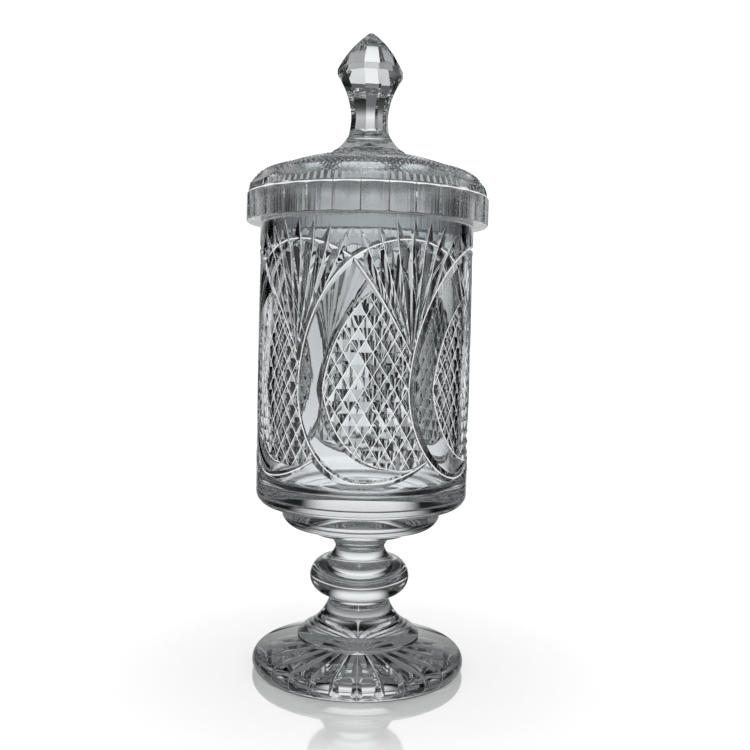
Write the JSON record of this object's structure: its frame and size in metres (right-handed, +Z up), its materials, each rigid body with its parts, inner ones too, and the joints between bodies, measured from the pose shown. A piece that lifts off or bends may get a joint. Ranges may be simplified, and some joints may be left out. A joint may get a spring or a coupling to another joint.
{
  "type": "lidded jar",
  "caption": "Footed cut-crystal jar with a straight cup, stepped collar, knop stem and star-cut foot, and a lift-off domed lid with a panelled skirt and a faceted finial.",
  "frame": {"origin": "centre of the underside of the foot, on the surface it stands on", "axes": "+Z up along the jar's axis, towards the finial; -Y towards the viewer of the picture, +X to the viewer's right"},
  "size_m": [0.1302, 0.1302, 0.3438],
  "materials": {
    "crystal": "polished"
  },
  "bodies": {
    "jar": {"foot": "crystal", "knop_stem": "crystal", "base_collar": "crystal", "jar_body": "crystal"},
    "lid": {"lid": "crystal", "finial": "crystal"}
  },
  "joints": [
    {"name": "lid_lift", "type": "slide", "parent": "jar", "child": "lid", "axis": [0, 0, 1], "range_m": [0, 0.15]}
  ]
}
